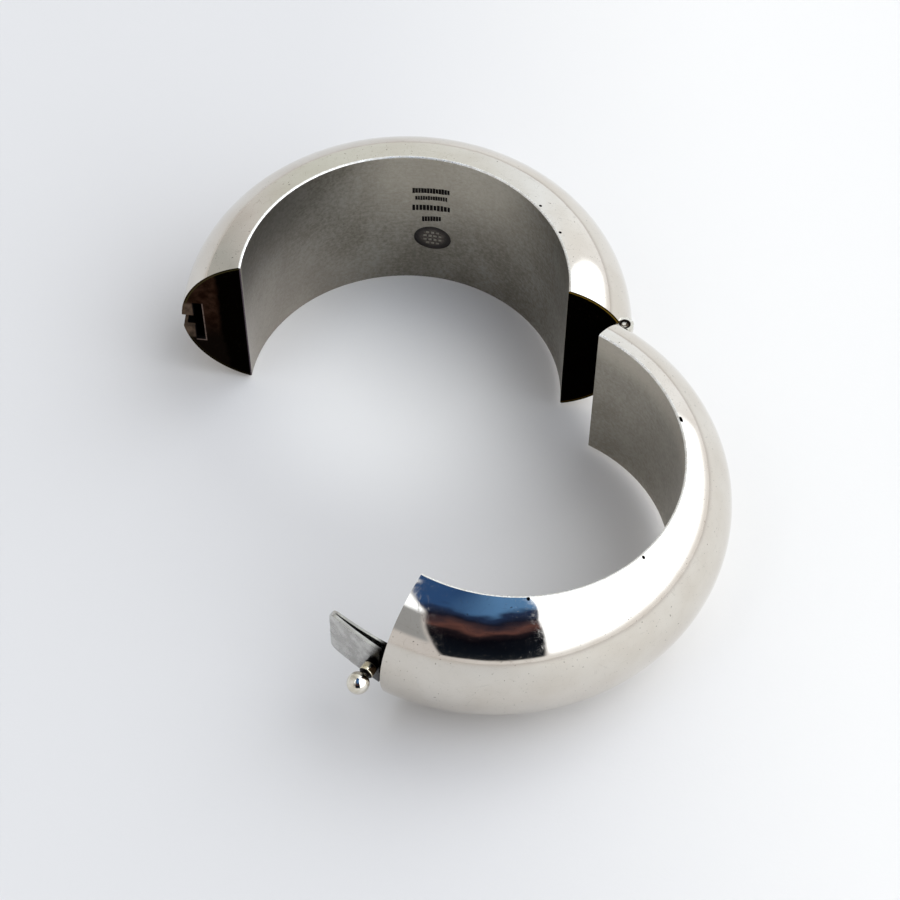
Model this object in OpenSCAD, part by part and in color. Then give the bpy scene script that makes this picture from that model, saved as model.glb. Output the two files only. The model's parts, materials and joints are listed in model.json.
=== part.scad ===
// Hinged bangle in two hollow halves of sheet metal, closed by a sprung tongue with a ball to push.
// Millimetres. Z points up, the bangle lies on its side on the plane z = 0, and the axis of the round
// wrist hole is x = 0, y = 0. The hinge is at +X and the back half lies towards +Y.

/* [Bangle] */
// Radius of the round wrist hole
wrist_r = 30; // [28:0.5:31.5]
// Radius of the outer crest, measured from the axis of the dome
crest_r = 42.4; // [41.6:0.2:44]
// Radius of the domed section
dome_r = 17; // [16:0.25:18]
// How far the axis of the dome lies behind the axis of the wrist hole
dome_shift = 3.2; // [1:0.2:4]
// Height ground off each rim, which leaves a narrow flat to rest on
rim_flat = 0.15; // [0.1:0.05:0.3]
// Thickness of the domed sheet and of the wall round the wrist
sheet_t = 0.6; // [0.4:0.1:1]
// Thickness of the plates that close the ends of each half
plate_t = 0.8; // [0.6:0.1:1.1]
// Gap between the two halves when the bangle is shut
shut_gap = 0.3; // [0.2:0.05:0.5]
// Angle by which the front half stands open
open_angle = 63.7; // [0:0.1:85]
// How far the meeting line at the clasp leans towards the front half, from the bottom up
clasp_lean = 2.1; // [0:0.1:3]

/* [Hinge] */
// Radius of the knuckles
knuckle_r = 1.65; // [1.5:0.05:1.8]
// How far the knuckles stand out past the crest
knuckle_proud = 0.1; // [0:0.05:0.3]
// Length of the whole row of knuckles
barrel_l = 17.4; // [15:0.2:19]
// Length of the middle knuckle, which belongs to the front half
mid_knuckle_l = 6; // [4:0.5:8]
// Gap between the end faces of neighbouring knuckles
knuckle_gap = 0.12; // [0.05:0.01:0.3]
// Room round each knuckle for the other half to turn past it
turn_room = 0.55; // [0.5:0.05:0.7]
// Radius of the hinge pin
pin_r = 0.7; // [0.5:0.05:0.8]
// Running clearance round the pin
pin_play = 0.05; // [0.02:0.01:0.1]
// How deep each end of the pin lies below the end of its knuckle
pin_recess = 0.25; // [0.1:0.05:0.5]

/* [Clasp] */
// Height of the middle of the clasp above the middle of the bangle
clasp_z = -0.6; // [-1.5:0.1:0.5]
// How far the inner face of the tongue lies below the crest
tongue_depth = 4; // [3.8:0.02:4.6]
// Length of the tongue, measured from the meeting line of the halves
tongue_l = 12; // [9:0.5:13]
// Height of the tongue
tongue_h = 10; // [8:0.1:11]
// Radius of the corners at the tip of the tongue
tip_r = 1.6; // [0.8:0.1:2.5]
// Thickness of the fixed inner strip
strip_t = 0.45; // [0.3:0.05:0.55]
// Thickness of the sprung outer leaf
leaf_t = 0.7; // [0.5:0.05:0.8]
// Gap between the strip and the leaf when the leaf is pressed flat
strip_gap = 0.1; // [0.05:0.05:0.15]
// Clearance between the leaf and the fold that it springs about
fold_play = 0.05; // [0.03:0.01:0.08]
// Width of the catch slot
slot_w = 1.8; // [1.7:0.05:1.9]
// Clearance between the slot's inner edge and the tongue
slot_play = 0.1; // [0.05:0.05:0.2]
// Clearance above and below the tongue in the slot
slot_end_play = 0.35; // [0.2:0.05:0.6]
// How far the sprung leaf reaches past the outer edge of the slot
catch_bite = 0.4; // [0.3:0.05:0.5]
// Clearance between the caught end of the leaf and the slotted plate
catch_play = 0.1; // [0.05:0.05:0.3]
// Radius of the neck that carries the ball
neck_r = 1.3; // [1:0.1:1.5]
// Distance from the meeting line of the halves to the middle of the neck
neck_at = 1.83; // [1.7:0.05:2.1]
// How far the neck stands out past the crest
neck_proud = 0.35; // [0.3:0.05:0.5]
// Clearance round the neck in its notch
neck_play = 0.35; // [0.3:0.05:0.5]
// Radius of the ball
ball_r = 1.95; // [1.6:0.05:2.3]
// Gap between the ball and the neck's collar, where a thinner stem shows
ball_groove = 0.3; // [0.2:0.05:0.5]

/* [Pits] */
// Radius of the small round pits near the rims
pit_r = 0.3; // [0.24:0.02:0.4]
// Depth of the pits, which break through the sheet
pit_depth = 2.2; // [1.8:0.1:3]
// Length of the long pit in the rim of the front half
long_pit_l = 1.2; // [0.9:0.1:2]

/* [Hidden] */
// Overlap that lets a cutting shape run clear past a face
past = 1;
big = 2 * crest_r;
// The dome is a ring of round section whose axis is shifted towards the back
ring_r = crest_r - dome_r;
half_h = dome_r - rim_flat;
face_y = shut_gap / 2;
plate_back = face_y + plate_t;
// Where the crest of the dome crosses the meeting line of the halves
crest_x = sqrt(pow(crest_r, 2) - pow(dome_shift, 2));
hinge_x = crest_x + knuckle_proud - knuckle_r;
groove_r = knuckle_r + turn_room;
groove_end = barrel_l / 2 + turn_room;
bore_r = pin_r + pin_play;
// The tongue follows arcs about the hinge, so that it slides straight through the slot
tongue_at = crest_x - tongue_depth;
strip_in = hinge_x + tongue_at;
strip_out = strip_in + strip_t;
leaf_in = strip_out + strip_gap;
leaf_out = leaf_in + leaf_t;
fold_r = (leaf_out - strip_in) / 2;
fold_y = tongue_l - fold_r;
fold_x = hinge_x - sqrt(pow(strip_in + fold_r, 2) - pow(fold_y, 2));
// At the clasp's height the leaning meeting line lies this far towards the front half
lean_at_clasp = (half_h + clasp_z) * tan(clasp_lean);
leaf_y = plate_back + catch_play - lean_at_clasp;
slot_in = tongue_at - slot_play;
slot_out = slot_in + slot_w;
slot_h = tongue_h + 2 * slot_end_play;
// The leaf springs out about the fold until it reaches past the slot
leaf_face = slot_out + catch_bite;
leaf_angle = asin((leaf_face - (leaf_out - hinge_x)) / (fold_y - leaf_y));
neck_end = crest_x + neck_proud;
ball_x = neck_end + ball_groove + ball_r;
stem_r = 0.6 * neck_r;
notch_r = neck_r + neck_play;
// Round pits as the angle round the wrist hole and the distance from its wall
BACK_PITS = [[41.2, 0.85], [27.3, 0.8]];
FRONT_PITS = [[-102.6, 0.75], [-143.1, 0.6]];
LONG_PIT = [-44.3, 0.6];

// Solid ring of round section, of which the outer part is the dome
module dome_ring(section_r) {
    translate([0, dome_shift, 0])
        rotate_extrude($fn = 240)
            translate([ring_r, 0])
                circle(r = section_r, $fn = 120);
}

// Leans a shape over about the lower edge of the bangle, towards the front half
module leaning() {
    translate([0, 0, -half_h])
        rotate([clasp_lean, 0, 0])
            translate([0, 0, half_h])
                children();
}

// Everything more than from_y behind the meeting line (side 1) or in front of it (side -1), which is
// upright at the hinge and leans at the clasp
module half_space(side, from_y) {
    edge_y = side > 0 ? from_y : -big - from_y;
    translate([-past, edge_y, -big / 2])
        cube([big, big, big]);
    leaning()
        translate([-big, edge_y, -big / 2])
            cube([big + past, big, big]);
}

// Upright cylinder about the hinge axis, between two heights
module hinge_cylinder(r, z_from, z_to) {
    translate([hinge_x, 0, z_from])
        cylinder(r = r, h = z_to - z_from, $fn = 64);
}

// The hollow inside a half, which leaves metal round the hinge groove
module hollow(side) {
    difference() {
        intersection() {
            dome_ring(dome_r - sheet_t);
            half_space(side, plate_back);
        }
        cylinder(r = wrist_r + sheet_t, h = 2 * dome_r, center = true, $fn = 240);
        hinge_cylinder(groove_r + sheet_t, -groove_end - sheet_t, groove_end + sheet_t);
    }
}

// One hollow half of the bangle, with its two end plates
module half_shell(side) {
    difference() {
        intersection() {
            dome_ring(dome_r);
            half_space(side, face_y);
            cube([2 * big, 2 * big, 2 * half_h], center = true);
        }
        cylinder(r = wrist_r, h = 2 * dome_r, center = true, $fn = 240);
        hollow(side);
    }
}

// A round pit drilled down into the upper rim, at an angle round the hole and a distance from its wall
module rim_pit(place) {
    rotate([0, 0, place[0]])
        translate([wrist_r + place[1], 0, half_h - pit_depth - rim_drop(place[0])])
            cylinder(r = pit_r, h = pit_depth + dome_r, $fn = 32);
}

// How far the upper rim lies below the flat at an angle round the wrist hole
function rim_drop(angle) =
    half_h - min(half_h, sqrt(pow(dome_r, 2)
        - pow(norm([wrist_r * cos(angle), wrist_r * sin(angle) - dome_shift]) - ring_r, 2)));

// The long pit is a short round-ended groove along the rim
module long_pit() {
    rotate([0, 0, LONG_PIT[0]])
        translate([wrist_r + LONG_PIT[1], 0, half_h - pit_depth - rim_drop(LONG_PIT[0])])
            linear_extrude(height = pit_depth + dome_r) {
                square([2 * pit_r, long_pit_l - 2 * pit_r], center = true);
                translate([0, long_pit_l / 2 - pit_r])
                    circle(r = pit_r, $fn = 32);
                translate([0, pit_r - long_pit_l / 2])
                    circle(r = pit_r, $fn = 32);
            }
}

// The slot in the back half's free end plate, with the notch that lets the neck in
module catch_slot() {
    translate([-slot_out, -past, clasp_z - slot_h / 2])
        cube([slot_w, plate_back + 2 * past, slot_h]);
    translate([-crest_x - past, -past, clasp_z - notch_r])
        cube([crest_x + past - slot_out + slot_play, past + neck_at, 2 * notch_r]);
    translate([-crest_x - past, neck_at, clasp_z])
        rotate([0, 90, 0])
            cylinder(r = notch_r, h = crest_x + past - slot_out + slot_play, $fn = 48);
}

// A sheet strip of the tongue, between two radii about the hinge. It begins root_y behind the leaning
// meeting line and ends at the tip.
module tongue_strip(r_in, r_out, root_y) {
    difference() {
        intersection() {
            translate([hinge_x, 0, clasp_z - tongue_h])
                difference() {
                    cylinder(r = r_out, h = 2 * tongue_h, $fn = 360);
                    translate([0, 0, -past])
                        cylinder(r = r_in, h = 2 * (tongue_h + past), $fn = 360);
                }
            tongue_block();
        }
        leaning()
            translate([-crest_x, root_y - big, -big / 2])
                cube([crest_x, big, big]);
    }
}

// Block that holds the tongue, with the corners at its tip rounded
module tongue_block() {
    translate([-crest_x, 0, clasp_z])
        rotate([0, 90, 0])
            linear_extrude(height = dome_r) {
                translate([-tongue_h / 2, -tongue_l])
                    square([tongue_h, 2 * tongue_l - tip_r]);
                translate([tip_r - tongue_h / 2, -tongue_l])
                    square([tongue_h - 2 * tip_r, 2 * tongue_l]);
                for (end = [-1, 1])
                    translate([end * (tongue_h / 2 - tip_r), tongue_l - tip_r])
                        circle(r = tip_r, $fn = 48);
            }
}

// Rod of the fold at the tip of the tongue
module fold_rod(r) {
    translate([fold_x, fold_y, clasp_z - tongue_h])
        cylinder(r = r, h = 2 * tongue_h, $fn = 48);
}

// The fixed inner strip with the fold at its tip
module inner_strip() {
    difference() {
        tongue_strip(strip_in, strip_out, -face_y - plate_t / 2);
        translate([-crest_x, fold_y, clasp_z - tongue_h])
            cube([crest_x, tongue_l, 2 * tongue_h]);
    }
    intersection() {
        fold_rod(fold_r);
        tongue_block();
    }
}

// Turns about the fold, from pressed flat to sprung out
module sprung_out() {
    translate([fold_x, fold_y, 0])
        rotate([0, 0, -leaf_angle])
            translate([-fold_x, -fold_y, 0])
                children();
}

// Lifts a piece from the bangle's middle height onto the plane that it rests on
module resting() {
    translate([0, 0, half_h])
        children();
}

// Swings a piece of the front half open about the hinge
module swung_open() {
    translate([hinge_x, 0, 0])
        rotate([0, 0, open_angle])
            translate([-hinge_x, 0, 0])
                children();
}

module back_half() {
    color("silver")
        resting()
            difference() {
                union() {
                    half_shell(1);
                    hinge_cylinder(knuckle_r, mid_knuckle_l / 2 + knuckle_gap, barrel_l / 2);
                    hinge_cylinder(knuckle_r, -barrel_l / 2, -mid_knuckle_l / 2 - knuckle_gap);
                }
                hinge_cylinder(groove_r, -mid_knuckle_l / 2 - knuckle_gap, mid_knuckle_l / 2 + knuckle_gap);
                hinge_cylinder(bore_r, -barrel_l / 2 - past, barrel_l / 2 + past);
                catch_slot();
                for (place = BACK_PITS)
                    rim_pit(place);
            }
}

module front_half() {
    color("gainsboro")
        resting()
            swung_open() {
                difference() {
                    union() {
                        half_shell(-1);
                        hinge_cylinder(knuckle_r, -mid_knuckle_l / 2, mid_knuckle_l / 2);
                    }
                    hinge_cylinder(groove_r, mid_knuckle_l / 2, groove_end);
                    hinge_cylinder(groove_r, -groove_end, -mid_knuckle_l / 2);
                    hinge_cylinder(bore_r, -barrel_l / 2 - past, barrel_l / 2 + past);
                    for (place = FRONT_PITS)
                        rim_pit(place);
                    long_pit();
                }
                inner_strip();
            }
}

module push_leaf() {
    color("whitesmoke")
        resting()
            swung_open() {
                sprung_out()
                    difference() {
                        tongue_strip(leaf_in, leaf_out, plate_back + catch_play);
                        fold_rod(fold_r + fold_play);
                        translate([-crest_x, fold_y, clasp_z - tongue_h])
                            cube([crest_x, tongue_l, 2 * tongue_h]);
                    }
                translate([-neck_end, neck_at, clasp_z])
                    rotate([0, 90, 0])
                        cylinder(r = neck_r, h = neck_end - leaf_face + leaf_t / 2, $fn = 48);
                translate([-ball_x, neck_at, clasp_z])
                    rotate([0, 90, 0])
                        cylinder(r = stem_r, h = ball_x - leaf_face, $fn = 48);
                translate([-ball_x, neck_at, clasp_z])
                    sphere(r = ball_r, $fn = 64);
            }
}

module hinge_pin() {
    color("dimgray")
        resting()
            hinge_cylinder(pin_r, pin_recess - barrel_l / 2, barrel_l / 2 - pin_recess);
}

back_half();
front_half();
push_leaf();
hinge_pin();
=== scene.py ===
"""Looks of a hinged bangle: two hollow halves of polished silver with satin walls, the sprung tongue
with its ball, the hinge pin and the generic struck marks inside. Sizes are in millimetres, as in the
part's source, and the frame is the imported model's: z up from the plane that the bangle lies on, and
the axis of the round wrist hole at x = 0, y = 0."""
import json
import math

import bmesh
import bpy
import numpy as np
from mathutils import Matrix, Vector


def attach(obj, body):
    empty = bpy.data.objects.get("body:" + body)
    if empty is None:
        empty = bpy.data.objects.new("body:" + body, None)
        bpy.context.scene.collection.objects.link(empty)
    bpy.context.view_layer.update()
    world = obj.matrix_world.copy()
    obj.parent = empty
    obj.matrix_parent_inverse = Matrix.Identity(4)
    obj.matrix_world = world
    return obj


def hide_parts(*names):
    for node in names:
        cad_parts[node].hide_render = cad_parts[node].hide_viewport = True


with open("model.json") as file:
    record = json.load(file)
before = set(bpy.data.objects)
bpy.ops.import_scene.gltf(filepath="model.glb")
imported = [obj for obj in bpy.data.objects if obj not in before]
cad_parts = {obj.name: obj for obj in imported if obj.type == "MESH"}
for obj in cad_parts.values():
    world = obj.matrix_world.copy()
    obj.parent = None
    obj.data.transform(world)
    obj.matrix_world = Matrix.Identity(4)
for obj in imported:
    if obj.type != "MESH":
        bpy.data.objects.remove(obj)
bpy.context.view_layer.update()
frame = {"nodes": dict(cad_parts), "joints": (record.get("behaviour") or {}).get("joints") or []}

MM = 0.001

# Bangle
WRIST_R = 30
CREST_R = 42.4
DOME_R = 17
DOME_SHIFT = 3.2
RIM_FLAT = 0.15
SHEET_T = 0.6
PLATE_T = 0.8
SHUT_GAP = 0.3
RING_R = CREST_R - DOME_R
HALF_H = DOME_R - RIM_FLAT
FACE_Y = SHUT_GAP / 2
PLATE_BACK = FACE_Y + PLATE_T
# How far the meeting line at the clasp leans towards the front half, from the bottom up
CLASP_LEAN = math.radians(2.1)
# Softened edge between the wall and the dome
RIM_W = 0.42
RIM_DROP = 0.22

# Hinge
KNUCKLE_R = 1.65
BARREL_L = 17.4
MID_KNUCKLE_L = 6
KNUCKLE_GAP = 0.12
TURN_ROOM = 0.55
PIN_R = 0.7
PIN_PLAY = 0.05
GROOVE_R = KNUCKLE_R + TURN_ROOM
GROOVE_END = BARREL_L / 2 + TURN_ROOM
BORE_R = PIN_R + PIN_PLAY

# Clasp
CREST_X = math.sqrt(CREST_R ** 2 - DOME_SHIFT ** 2)
CLASP_Z = -0.6
TONGUE_DEPTH = 4
TONGUE_L = 12
TONGUE_H = 10
TIP_R = 1.6
STRIP_T = 0.45
STRIP_BEVEL = 0.07
LEAF_T = 0.7
LEAF_BEVEL = 0.09
STRIP_GAP = 0.1
FOLD_PLAY = 0.05
SLOT_W = 1.8
SLOT_PLAY = 0.1
SLOT_END_PLAY = 0.35
CATCH_BITE = 0.4
CATCH_PLAY = 0.1
NECK_R = 1.3
NECK_AT = 1.83
NECK_PROUD = 0.35
NECK_PLAY = 0.35
BALL_R = 1.95
BALL_GROOVE = 0.3

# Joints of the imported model
JOINTS = {joint["name"]: joint for joint in frame["joints"]}
HINGE = Vector(JOINTS["hinge_swing"]["pos_m"]) / MM
OPEN_ANGLE = -math.radians(JOINTS["hinge_swing"]["range_deg"][0])
HINGE_X = HINGE.x

# Places on the tongue, which follows arcs about the hinge
TONGUE_AT = CREST_X - TONGUE_DEPTH
STRIP_IN = HINGE_X + TONGUE_AT
STRIP_OUT = STRIP_IN + STRIP_T
LEAF_IN = STRIP_OUT + STRIP_GAP
LEAF_OUT = LEAF_IN + LEAF_T
FOLD_R = (LEAF_OUT - STRIP_IN) / 2
FOLD_Y = TONGUE_L - FOLD_R
FOLD_X = HINGE_X - math.sqrt((STRIP_IN + FOLD_R) ** 2 - FOLD_Y ** 2)
LEAN_AT_CLASP = (HALF_H + CLASP_Z) * math.tan(CLASP_LEAN)
STRIP_Y = -FACE_Y - PLATE_T / 2 - LEAN_AT_CLASP
LEAF_Y = PLATE_BACK + CATCH_PLAY - LEAN_AT_CLASP
SLOT_IN = TONGUE_AT - SLOT_PLAY
SLOT_OUT = SLOT_IN + SLOT_W
SLOT_H = TONGUE_H + 2 * SLOT_END_PLAY
LEAF_FACE = SLOT_OUT + CATCH_BITE
LEAF_ANGLE = math.asin((LEAF_FACE - (LEAF_OUT - HINGE_X)) / (FOLD_Y - LEAF_Y))
NECK_END = CREST_X + NECK_PROUD
BALL_X = NECK_END + BALL_GROOVE + BALL_R
STEM_R = 0.6 * NECK_R
NOTCH_R = NECK_R + NECK_PLAY

# Faces are told apart by the finish that they get
DOME, WALL, RIM, PLATE, INSIDE, KNUCKLE, STRUCK, FIELD, TONGUE, COLLAR = range(10)
FINISH = "finish"
# Two points closer than this are one, in millimetres
WELD = 0.002
# Edges sharper than this are softened, and those sharper than the second stay sharp in the shading
BEVEL_ANGLE = math.radians(38)
SHARP_ANGLE = math.radians(50)


class Formula:
    """A number that a node tree works out, written as plain arithmetic."""

    def __init__(self, tree, source):
        self.tree = tree
        self.source = source

    def work(self, operation, *others):
        """The outcome of one maths node on this number and the others."""
        node = self.tree.nodes.new("ShaderNodeMath")
        node.operation = operation
        for place, value in zip(node.inputs, (self, *others)):
            feed(self.tree, place, value)
        return Formula(self.tree, node.outputs[0])

    def __add__(self, other):
        return self.work("ADD", other)

    __radd__ = __add__

    def __sub__(self, other):
        return self.work("SUBTRACT", other)

    def __rsub__(self, other):
        return self.work("MULTIPLY_ADD", -1.0, other)

    def __mul__(self, other):
        return self.work("MULTIPLY", other)

    __rmul__ = __mul__

    def __truediv__(self, other):
        return self.work("DIVIDE", other)

    def __neg__(self):
        return self.work("MULTIPLY", -1.0)


def feed(tree, socket, value):
    """Links a formula or a socket to an input, or sets the input to a plain value."""
    if isinstance(value, Formula):
        tree.links.new(value.source, socket)
    elif isinstance(value, bpy.types.NodeSocket):
        tree.links.new(value, socket)
    else:
        socket.default_value = value


def maths(operation):
    """A function that works out this operation on formulas."""
    return lambda first, *others: first.work(operation, *others)


sine = maths("SINE")
cosine = maths("COSINE")
arcsine = maths("ARCSINE")
arccosine = maths("ARCCOSINE")
root = maths("SQRT")
least = maths("MINIMUM")
most = maths("MAXIMUM")


def bearing(y, x):
    """Angle of the point (x, y) round the origin, without a jump at -X."""
    return math.pi / 2 - x.work("ARCTAN2", y)


def length_of(a, b):
    """Length of the vector with the parts a and b."""
    return root(a * a + b * b)


def new_tree(name, numbers=()):
    """A Geometry Nodes tree with named number inputs, and the formulas that stand for them in turn."""
    tree = bpy.data.node_groups.new(name, "GeometryNodeTree")
    for label, value in numbers:
        kind = "NodeSocketInt" if isinstance(value, int) else "NodeSocketFloat"
        socket = tree.interface.new_socket(label, in_out="INPUT", socket_type=kind)
        socket.default_value = value
    tree.interface.new_socket("Geometry", in_out="OUTPUT", socket_type="NodeSocketGeometry")
    entry = tree.nodes.new("NodeGroupInput")
    tree.nodes.new("NodeGroupOutput")
    return tree, [Formula(tree, entry.outputs[label]) for label, _ in numbers]


def node(tree, kind, settings=None, **values):
    """Adds a node. settings are its own properties, and values are fed to its named inputs."""
    made = tree.nodes.new(kind)
    for key, value in (settings or {}).items():
        setattr(made, key, value)
    for key, value in values.items():
        socket = made.inputs[key.replace("_", " ")]
        for one in value if isinstance(value, list) else [value]:
            feed(tree, socket, one)
    return made


def parts_of(vector):
    """The x, y and z of a vector."""
    tree = vector.id_data
    return [Formula(tree, part) for part in node(tree, "ShaderNodeSeparateXYZ", Vector=vector).outputs]


def finish_tree(tree, shape):
    """Ends a tree with this shape as what it makes."""
    tree.links.new(shape, tree.nodes["Group Output"].inputs[0])
    return tree


def labelled(tree, shape, finish):
    """The shape with the label of its finish on each face."""
    return node(
        tree, "GeometryNodeStoreNamedAttribute", {"data_type": "INT", "domain": "FACE"},
        Geometry=shape, Name=FINISH, Value=finish).outputs[0]


def sheet(tree, steps_u, steps_v, place, finish):
    """A sheet of quads whose points lie where place(u, v) says, with u and v from 0 to 1."""
    grid = node(tree, "GeometryNodeMeshGrid", Size_X=1.0, Size_Y=1.0,
                Vertices_X=steps_u + 1, Vertices_Y=steps_v + 1).outputs["Mesh"]
    u, v, _ = parts_of(node(tree, "GeometryNodeInputPosition").outputs[0])
    x, y, z = place(u + 0.5, v + 0.5)
    where = node(tree, "ShaderNodeCombineXYZ", X=x, Y=y, Z=z).outputs[0]
    shape = node(tree, "GeometryNodeSetPosition", Geometry=grid, Position=where).outputs[0]
    return labelled(tree, shape, finish)


# The half ring is made this much too long at each end, and is cut to the meeting line afterwards
OVERLENGTH = 3.0


def half_ring_tree():
    """One closed half ring, longer than the half at each end: the dome, the round wall, the softened
    rims and the two flat ends. Inputs are millimetres."""
    tree, sizes = new_tree("half_ring", [
        ("Wall Radius", float(WRIST_R)), ("Section Radius", float(DOME_R)),
        ("Ring Radius", float(RING_R)), ("Shift", float(DOME_SHIFT)),
        ("Face", -OVERLENGTH), ("Half Height", float(HALF_H)),
        ("Rim Width", float(RIM_W)), ("Rim Drop", float(RIM_DROP)),
        ("Steps Round", 300), ("Steps Over", 96), ("Steps Rim", 5)])
    wall_r, section_r, ring_r, shift, face, half_h, rim_w, rim_drop = sizes[:8]
    steps_round, steps_over, steps_rim = sizes[8:]

    def round_at(radius, u):
        """Point at the share u of the arc of this radius about the wrist hole."""
        first = arcsine(face / radius)
        angle = first + u * (math.pi - first * 2.0)
        return radius * cosine(angle), radius * sine(angle)

    def rim_point(u):
        """Where the rim meets the dome: x, y and the dome's angle there."""
        x, y = round_at(wall_r + rim_w, u)
        reach = length_of(x, y - shift)
        return x, y, arccosine((reach - ring_r) / section_r)

    def rim_height(u):
        return least(section_r * sine(rim_point(u)[2]), half_h)

    def dome_point(u, v):
        rim_x, rim_y, widest = rim_point(u)

        def first_bearing(tilt):
            return arcsine((face - shift) / (ring_r + section_r * cosine(tilt)))

        begin = first_bearing(widest)
        share = (bearing(rim_y - shift, rim_x) - begin) / (math.pi - begin * 2.0)
        tilt = widest * (v * 2.0 - 1.0)
        reach = ring_r + section_r * cosine(tilt)
        start = first_bearing(tilt)
        angle = start + share * (math.pi - start * 2.0)
        height = most(least(section_r * sine(tilt), half_h), -half_h)
        return reach * cosine(angle), shift + reach * sine(angle), height

    def wall_point(u, v):
        x, y = round_at(wall_r, u)
        return x, y, (rim_height(u) - rim_drop) * (1.0 - v * 2.0)

    def rim_strip(side):
        def place(u, v):
            turn = (1.0 - v) * (math.pi / 2) if side > 0 else v * (math.pi / 2)
            x, y = round_at(wall_r + rim_w * (1.0 - cosine(turn)), u)
            height = rim_height(u) - rim_drop + rim_drop * sine(turn)
            return x, y, height * float(side)
        return place

    def end_plate(end):
        def place(u, v):
            over = v if end == 0 else 1.0 - v
            turn = u * (math.pi / 2)
            out = 1.0 - cosine(turn)
            fixed = Formula(tree, node(tree, "ShaderNodeValue").outputs[0])
            fixed.source.default_value = float(end)
            dome_x, _, dome_z = dome_point(fixed, over)
            wall_x, _, wall_z = wall_point(fixed, 1.0 - over)
            side = over * 2.0 - 1.0
            on_rim = side.work("ABSOLUTE").work("GREATER_THAN", 0.9999)
            lift = on_rim * side * rim_drop * (sine(turn) - out)
            x = wall_x + (dome_x - wall_x) * out
            return x, face, wall_z + (dome_z - wall_z) * out + lift
        return place

    sheets = [
        sheet(tree, steps_round, steps_over, dome_point, DOME),
        sheet(tree, steps_round, steps_over, wall_point, WALL),
        sheet(tree, steps_round, steps_rim, rim_strip(1), RIM),
        sheet(tree, steps_round, steps_rim, rim_strip(-1), RIM),
        sheet(tree, steps_rim, steps_over, end_plate(0), PLATE),
        sheet(tree, steps_rim, steps_over, end_plate(1), PLATE)]
    joined = node(tree, "GeometryNodeJoinGeometry", Geometry=sheets).outputs[0]
    welded = node(tree, "GeometryNodeMergeByDistance", Geometry=joined, Distance=WELD).outputs[0]
    return finish_tree(tree, welded)


def moved(tree, shape, place, turn=(0.0, 0.0, 0.0), scale=(1.0, 1.0, 1.0)):
    return node(tree, "GeometryNodeTransform", Geometry=shape, Translation=place,
                Rotation=turn, Scale=scale).outputs[0]


def rod(tree, radius, length, finish, steps):
    """Upright cylinder whose middle is the origin."""
    made = node(tree, "GeometryNodeMeshCylinder", {"fill_type": "NGON"}, Vertices=steps,
                Radius=radius, Depth=length).outputs["Mesh"]
    return labelled(tree, made, finish)


def upright_rod(tree, radius, z_from, z_to, finish, x=HINGE_X, y=0.0, steps=96):
    """Upright cylinder between two heights, about the hinge axis unless it is told otherwise."""
    return moved(tree, rod(tree, radius, z_to - z_from, finish, steps), (x, y, (z_from + z_to) / 2))


def block(tree, low, high, finish):
    """Box between two corners."""
    size = tuple(b - a for a, b in zip(low, high))
    box = node(tree, "GeometryNodeMeshCube", Size=size).outputs["Mesh"]
    return moved(tree, labelled(tree, box, finish), tuple((a + b) / 2 for a, b in zip(low, high)))


def beyond_meeting_line(tree, side, from_y, finish):
    """Two blocks that hold all that lies less than from_y behind the meeting line (side 1) or in
    front of it (side -1). The line is upright at the hinge and leans at the clasp."""
    far, past = 2 * CREST_R, 1.0
    low_y, high_y = (-far, from_y) if side > 0 else (-from_y, far)
    at_hinge = block(tree, (-past, low_y, -far), (far, high_y, far), finish)
    at_clasp = block(tree, (-far, low_y, -far), (past, high_y, far), finish)
    raised = moved(tree, at_clasp, (0.0, 0.0, float(HALF_H)))
    return [at_hinge, moved(tree, raised, (0.0, 0.0, float(-HALF_H)), (CLASP_LEAN, 0.0, 0.0))]


def boolean(tree, operation, **shapes):
    return node(tree, "GeometryNodeMeshBoolean", {"operation": operation, "solver": "MANIFOLD"},
                **shapes).outputs["Mesh"]


def cut(tree, shape, cutters):
    """The shape without the cutters."""
    return boolean(tree, "DIFFERENCE", Mesh_1=shape, Mesh_2=cutters)


# Small pits in the rims: the angle round the wrist hole in degrees and the distance from its wall
PIT_R = 0.3
PIT_DEPTH = 2.2
BACK_PITS = ((41.2, 0.85), (27.3, 0.8))
FRONT_PITS = ((-102.6, 0.75), (-143.1, 0.6))
LONG_PIT = (-44.3, 0.6)
LONG_PIT_L = 1.2


def rim_height_at(degrees):
    """Height of the upper rim above the bangle's middle, at an angle round the wrist hole."""
    angle = math.radians(degrees)
    reach = math.hypot(WRIST_R * math.cos(angle), WRIST_R * math.sin(angle) - DOME_SHIFT)
    return min(HALF_H, math.sqrt(DOME_R ** 2 - (reach - RING_R) ** 2))


def pit_cutter(tree, place, along=0.0):
    """A rod that drills one pit. along moves it along the rim."""
    degrees, out = place
    angle = math.radians(degrees)
    x = (WRIST_R + out) * math.cos(angle) - along * math.sin(angle)
    y = (WRIST_R + out) * math.sin(angle) + along * math.cos(angle)
    bottom = rim_height_at(degrees) - PIT_DEPTH
    return upright_rod(tree, PIT_R, bottom, bottom + PIT_DEPTH + DOME_R, INSIDE, x, y, 24)


# Generic struck marks on the wall: rows of small punched cells, as the angle of the first and the last
# cell in degrees, their height above the middle, how many there are, and a cell's width and height
MARK_DEPTH = 0.2
MARK_ROWS = (
    (80.4, 93.4, 8.15, 13, 0.55, 1.5),
    (81.2, 92.4, 6.15, 13, 0.46, 1.2),
    (80.2, 93.4, 3.45, 11, 0.6, 1.55),
    (83.6, 89.9, 0.4, 7, 0.53, 1.4))
# How much higher a row's first cell stands than its last one
MARK_SLANT = 0.5
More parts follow.
